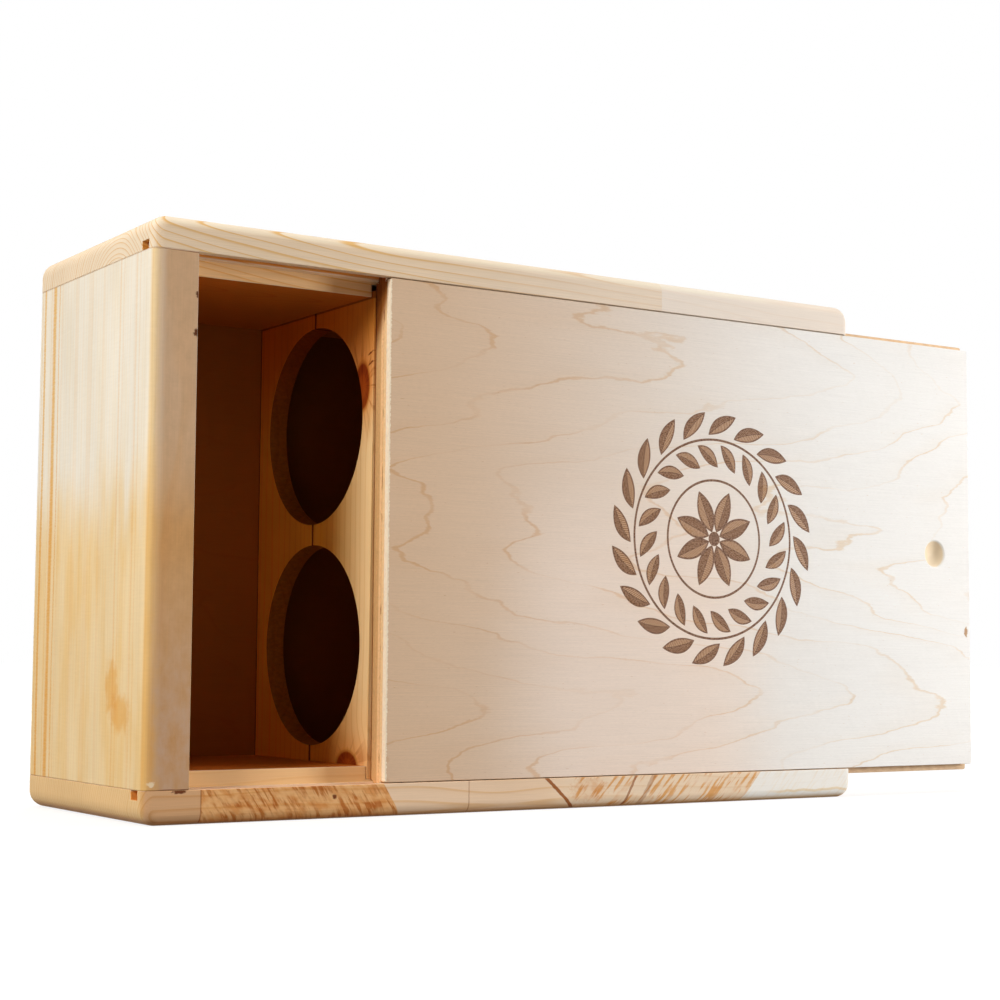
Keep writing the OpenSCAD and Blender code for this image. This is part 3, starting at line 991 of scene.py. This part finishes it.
def cut_near_corners(board):
    """Adds edges across a board near the box's ends, its front, its back and its outside."""
    for axis, size in enumerate((BOX_LENGTH, BOX_DEPTH, BOX_HEIGHT)):
        way = Vector((0.0, 0.0, 0.0))
        way[axis] = 1.0
        for offset in CUTS:
            for distance in (offset, size - offset):
                bmesh.ops.bisect_plane(board, geom=board.verts[:] + board.edges[:] + board.faces[:],
                                       dist=0.0005 * MM, plane_no=way,
                                       plane_co=BOX_CORNER + way * distance * MM)


def rout(board):
    """Moves every vertex that stands out of the rounded outside of the box on to it."""
    for vertex in board.verts:
        x, y, z = (vertex.co - BOX_CORNER) / MM
        inner_x = min(max(x, CORNER_ROUND), BOX_LENGTH - CORNER_ROUND)
        inner_z = min(max(z, CORNER_ROUND), BOX_HEIGHT - CORNER_ROUND)
        reach = math.hypot(x - inner_x, z - inner_z)
        if reach < CORNER_ROUND - EDGE_ROUND:
            continue
        outside = CORNER_ROUND - reach
        behind = min(y, BOX_DEPTH - y)
        far = math.hypot(EDGE_ROUND - outside, max(EDGE_ROUND - behind, 0.0))
        if far <= EDGE_ROUND + 0.001:
            continue
        outside = EDGE_ROUND - (EDGE_ROUND - outside) * EDGE_ROUND / far
        if behind < EDGE_ROUND:
            behind = EDGE_ROUND - (EDGE_ROUND - behind) * EDGE_ROUND / far
            y = behind if y < BOX_DEPTH / 2 else BOX_DEPTH - behind
        pull = (CORNER_ROUND - outside) / reach
        vertex.co = BOX_CORNER + Vector((inner_x + (x - inner_x) * pull, y,
                                         inner_z + (z - inner_z) * pull)) * MM


# %% Bevelled copies
SHARP = math.radians(35.0)
MERGE = 0.002 * MM


def evaluated_mesh(piece):
    """The piece's mesh with its modifiers in it, as a mesh of its own."""
    depsgraph = bpy.context.evaluated_depsgraph_get()
    depsgraph.update()
    return bpy.data.meshes.new_from_object(piece.evaluated_get(depsgraph))


def whole_faces(node):
    """The CAD node's mesh with its flat triangles joined. A routed board's corners are rounded."""
    mesh = nodes[node].data.copy()
    merged = bmesh.new()
    merged.from_mesh(mesh)
    bmesh.ops.remove_doubles(merged, verts=merged.verts, dist=MERGE)
    bmesh.ops.dissolve_limit(merged, angle_limit=math.radians(0.5), verts=merged.verts,
                             edges=merged.edges)
    if node in ROUTED:
        cut_near_corners(merged)
        rout(merged)
        bmesh.ops.dissolve_degenerate(merged, dist=MERGE, edges=merged.edges)
        bmesh.ops.triangulate(merged, faces=[face for face in merged.faces if len(face.verts) > 4])
    weight = merged.edges.layers.float.new("bevel_weight_edge")
    for edge in merged.edges:
        turn = edge.calc_face_angle_signed(0.0)
        edge[weight] = 1.0 if turn > SHARP else 0.0
        edge.smooth = turn > -SHARP
    for face in merged.faces:
        face.smooth = True
    merged.to_mesh(mesh)
    merged.free()
    return mesh


def tidied(mesh, low, high):
    """Keeps every vertex inside the node's box, and takes out faces that have no area."""
    work = bmesh.new()
    work.from_mesh(mesh)
    for vertex in work.verts:
        vertex.co = [min(max(vertex.co[axis], low[axis]), high[axis]) for axis in range(3)]
    bmesh.ops.dissolve_degenerate(work, dist=MERGE, edges=work.edges)
    work.to_mesh(mesh)
    work.free()


def eased(node, width, material):
    """A copy of a CAD node with softened edges, which stands for it."""
    piece = bpy.data.objects.new(node + "_eased", whole_faces(node))
    bpy.context.scene.collection.objects.link(piece)
    bevel = piece.modifiers.new("ease", "BEVEL")
    bevel.width = width
    bevel.segments = 3
    bevel.limit_method = "WEIGHT"
    bevel.use_clamp_overlap = False
    bevel.loop_slide = False
    piece.data = evaluated_mesh(piece)
    piece.modifiers.clear()
    tidied(piece.data, *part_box(node))
    flat = piece.modifiers.new("flat faces", "WEIGHTED_NORMAL")
    flat.mode = "FACE_AREA"
    flat.weight = 90
    flat.keep_sharp = True
    mesh = evaluated_mesh(piece)
    piece.modifiers.clear()
    piece.data = mesh
    mesh.materials.clear()
    mesh.materials.append(material)
    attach(piece, nodes[node]["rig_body"])
    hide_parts(node)
    print(piece.name, len(mesh.polygons), "faces")
    return piece


body_knots = cradle_pine("cradle_pine_knotty", CRADLE_KNOTS)
plain_cradle = cradle_pine("cradle_pine", ())
WOOD = {
    "top_board": (0.35 * MM, top_pine()),
    "bottom_board": (0.35 * MM, bottom_pine()),
    "left_end_board": (0.30 * MM, end_pine("left_pine", YEAR_LINES, SMUDGES)),
    "right_end_board": (0.30 * MM, end_pine("right_pine", YEAR_LINES[:5], ())),
    "back_panel": (0.20 * MM, panel_ply()),
    "lid": (0.30 * MM, lid_birch()),
    "body_cradle_rear": (0.25 * MM, body_knots),
    "body_cradle_front": (0.25 * MM, body_knots),
    "neck_cradle_rear": (0.25 * MM, plain_cradle),
    "neck_cradle_front": (0.25 * MM, plain_cradle),
}
for node, (width, material) in WOOD.items():
    eased(node, width, material)

# %% [markdown]
# ## The brads
# Thirty thin nails of one pattern: that is a job for Geometry Nodes. A mesh with one vertex for
# each nail, and the way it points as an attribute, is turned into nails by instancing one nail
# on every vertex. The places are read from the CAD nodes, whose solids are apart from each other.

# %% Steel
def brad_steel():
    paint = new_paint("brad_steel")
    x, y, z = place(paint)
    scratch = paint.noise(x / 0.3, y / 0.3, z / 0.3, detail=3.0)
    dull = paint.mix(scratch, rgb(0.42, 0.41, 0.39), rgb(0.62, 0.61, 0.59))
    shader = paint.add("BsdfPrincipled", Base_Color=dull, Metallic=1.0,
                       Roughness=0.28 + scratch * 0.3)
    paint.add("OutputMaterial", Surface=shader)
    return paint.owner


# %% Where the nails are
def islands(node):
    """The lowest and highest corner of each separate solid of a CAD node."""
    merged = bmesh.new()
    merged.from_mesh(nodes[node].data)
    bmesh.ops.remove_doubles(merged, verts=merged.verts, dist=MERGE)
    waiting = set(merged.verts)
    found = []
    while waiting:
        reached = [waiting.pop()]
        corners = []
        while reached:
            vertex = reached.pop()
            corners.append(vertex.co.copy())
            for edge in vertex.link_edges:
                other = edge.other_vert(vertex)
                if other in waiting:
                    waiting.remove(other)
                    reached.append(other)
        found.append((Vector(map(min, zip(*corners))), Vector(map(max, zip(*corners)))))
    merged.free()
    return sorted(found, key=lambda box: tuple(box[0]))


def nail_points(node, axis):
    """Each nail's head, which is at the box's outside, the way to its tip, and its length."""
    points = []
    for low, high in islands(node):
        middle = (low + high) / 2
        outside_is_low = middle[axis] < (cad_box[0][axis] + cad_box[1][axis]) / 2
        head = middle.copy()
        head[axis] = (low if outside_is_low else high)[axis]
        aim = Vector((0.0, 0.0, 0.0))
        aim[axis] = 1.0 if outside_is_low else -1.0
        points.append((head, aim, high[axis] - low[axis]))
    return points


# %% The nail tree
HEAD_WIDE = 2.4 * MM
HEAD_THICK = 1.0 * MM
SHANK_WIDE = 1.6 * MM
TIP_LONG = 2.2 * MM


def nail_tree(steel):
    """Geometry Nodes that put one nail on each vertex, head at the vertex, along 'aim'."""
    tree = bpy.data.node_groups.new("nails", "GeometryNodeTree")
    tree.interface.new_socket("Geometry", in_out="INPUT", socket_type="NodeSocketGeometry")
    for name in ("Head Width", "Head Thickness", "Shank Width", "Length", "Tip"):
        tree.interface.new_socket(name, in_out="INPUT", socket_type="NodeSocketFloat")
    tree.interface.new_socket("Geometry", in_out="OUTPUT", socket_type="NodeSocketGeometry")
    nails = Paint(tree, tree)
    given = tree.nodes.new("NodeGroupInput")
    points, head_wide, head_thick, shank_wide, length, tip = [
        Value(nails, socket) for socket in given.outputs[:6]]
    head = nails.add("GeometryNodeMeshCone", Vertices=24, Radius_Top=shank_wide * 0.5,
                     Radius_Bottom=head_wide * 0.5, Depth=head_thick)
    shank = nails.add("GeometryNodeMeshCylinder", Vertices=16, Radius=shank_wide * 0.5,
                      Depth=length - tip)
    point_end = nails.add("GeometryNodeMeshCone", Vertices=16, Radius_Top=0.0,
                          Radius_Bottom=shank_wide * 0.5, Depth=tip)
    shank = nails.add("GeometryNodeTransform", Geometry=shank,
                      Translation=nails.point(0.0, 0.0, (length - tip) * 0.5))
    point_end = nails.add("GeometryNodeTransform", Geometry=point_end,
                          Translation=nails.point(0.0, 0.0, length - tip))
    whole = tree.nodes.new("GeometryNodeJoinGeometry")
    for part in (head, shank, point_end):
        tree.links.new(part.socket, whole.inputs[0])
    aim = nails.add("GeometryNodeInputNamedAttribute", {"data_type": "FLOAT_VECTOR"}, Name="aim")
    turned = nails.add("FunctionNodeAlignRotationToVector", Vector=aim)
    placed = nails.add("GeometryNodeInstanceOnPoints", Points=points,
                       Instance=Value(nails, whole.outputs[0]), Rotation=turned)
    real = nails.add("GeometryNodeRealizeInstances", Geometry=placed)
    done = nails.add("GeometryNodeSetMaterial", Geometry=real, Material=steel)
    end = tree.nodes.new("NodeGroupOutput")
    tree.links.new(done.socket, end.inputs[0])
    return tree


def set_inputs(modifier, **sizes):
    """Sets a modifier's named inputs, each by its socket's identifier."""
    for item in modifier.node_group.interface.items_tree:
        name = item.name.replace(" ", "_")
        if item.in_out == "INPUT" and name in sizes:
            modifier[item.identifier] = sizes[name]


def drive_nails(node, axis, tree):
    """The nails of one CAD node, as one mesh that stands for it."""
    points = nail_points(node, axis)
    mesh = bpy.data.meshes.new(node + "_nails")
    mesh.from_pydata([head for head, aim, length in points], [], [])
    aims = mesh.attributes.new("aim", "FLOAT_VECTOR", "POINT")
    for item, (head, aim, length) in zip(aims.data, points):
        item.vector = aim
    piece = bpy.data.objects.new(node + "_nails", mesh)
    bpy.context.scene.collection.objects.link(piece)
    modifier = piece.modifiers.new("nails", "NODES")
    modifier.node_group = tree
    set_inputs(modifier, Head_Width=HEAD_WIDE, Head_Thickness=HEAD_THICK,
               Shank_Width=SHANK_WIDE, Length=points[0][2], Tip=TIP_LONG)
    made = evaluated_mesh(piece)
    piece.modifiers.clear()
    piece.data = made
    made.set_sharp_from_angle(angle=math.radians(40.0))
    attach(piece, nodes[node]["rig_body"])
    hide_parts(node)
    print(piece.name, len(points), "nails of", round(points[0][2] / MM, 1), "mm")


nails = nail_tree(brad_steel())
drive_nails("corner_brads", 2, nails)
drive_nails("panel_brads", 1, nails)

# %% [markdown]
# ## The floor and the white ground
# The floor is a large pale sheet. Rays from the camera and reflected ones see it, and the world
# behind it, nearly white, while the box's shadow still darkens it. The rays that light the box
# see a darker floor and a weak world, so the whiteness hardly brightens the wood.

# %% Floor and world
FLOOR_SIZE = 30.0


def looked_at(paint):
    """1 for rays from the camera, in a reflection or through glass, 0 for all others."""
    camera_ray = paint.add("LightPath", out=0)
    mirrored = paint.add("LightPath", out=3)
    through = paint.add("LightPath", out=6)
    return paint.math("MAXIMUM", camera_ray, paint.math("MAXIMUM", mirrored, through))


def floor_white():
    paint = new_paint("floor_white")
    away = paint.add("VectorMath", {"operation": "LENGTH"}, out=1,
                     Vector=paint.add("TexCoord", out=3))
    glow = paint.mix(paint.step(away, 0.35, 1.1), rgb(0.80, 0.80, 0.80), rgb(1.0, 1.0, 1.0))
    plain = paint.add("BsdfDiffuse", Color=rgb(0.30, 0.29, 0.28))
    both = paint.add("AddShader", Shader=plain, Shader_001=paint.add("Emission", Color=glow))
    paint.add("OutputMaterial", Surface=paint.add("MixShader", Fac=looked_at(paint),
                                                  Shader=plain, Shader_001=both))
    return paint.owner


floor_mesh = bpy.data.meshes.new("floor")
half = FLOOR_SIZE / 2
floor_mesh.from_pydata([(-half, -half, 0), (half, -half, 0), (half, half, 0), (-half, half, 0)],
                       [], [(0, 1, 2, 3)])
floor_mesh.materials.append(floor_white())
floor = bpy.data.objects.new("floor", floor_mesh)
bpy.context.scene.collection.objects.link(floor)

world = bpy.data.worlds.new("world")
bpy.context.scene.world = world
air = Paint(world)
soft = air.add("Background", Color=rgb(1.0, 0.98, 0.95), Strength=0.08)
white = air.add("Background", Color=rgb(1.0, 1.0, 1.0), Strength=1.0)
air.add("OutputWorld", Surface=air.add("MixShader", Fac=looked_at(air), Shader=soft,
                                       Shader_001=white))
